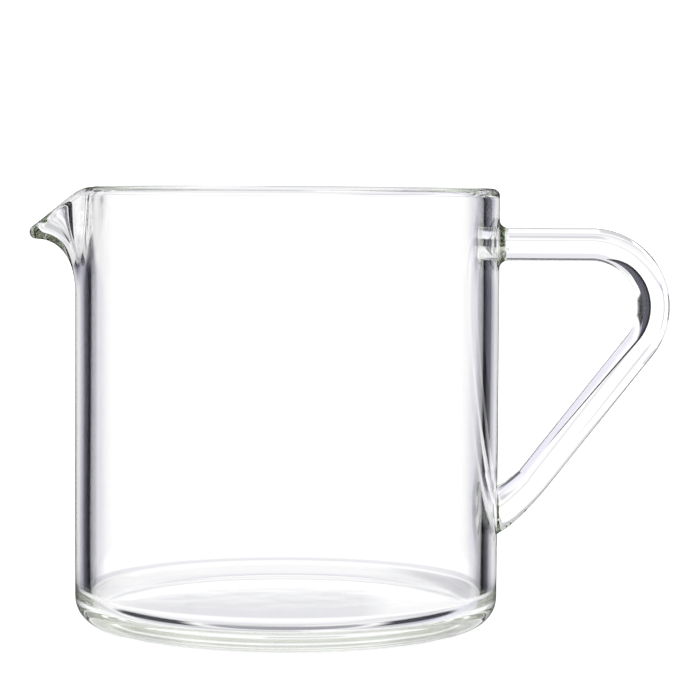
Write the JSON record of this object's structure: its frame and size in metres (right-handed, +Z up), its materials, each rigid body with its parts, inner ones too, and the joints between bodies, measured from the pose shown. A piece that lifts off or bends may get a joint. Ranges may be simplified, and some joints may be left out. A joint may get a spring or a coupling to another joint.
{
  "type": "glass jug beaker with spout and handle",
  "caption": "Clear glass jug beaker: round flat-based vessel with a pulled pouring spout and a bent solid glass rod handle fused to the wall.",
  "frame": {"origin": "centre of the flat foot, on the vessel's axis", "axes": "+Z up along the vessel's axis, +X towards the handle, -X towards the spout"},
  "size_m": [0.1364, 0.09, 0.0927],
  "materials": {
    "clear_glass": "clear borosilicate glass, drawn tube, fire polished",
    "rod_glass": "clear solid borosilicate rod, flame bent",
    "seal_glass": "clear glass with a faint olive weld line"
  },
  "bodies": {
    "root": {"vessel_wall": "clear_glass", "base": "clear_glass", "pouring_spout": "clear_glass", "handle_rod": "rod_glass", "upper_seal": "seal_glass", "lower_seal": "seal_glass"}
  },
  "joints": []
}
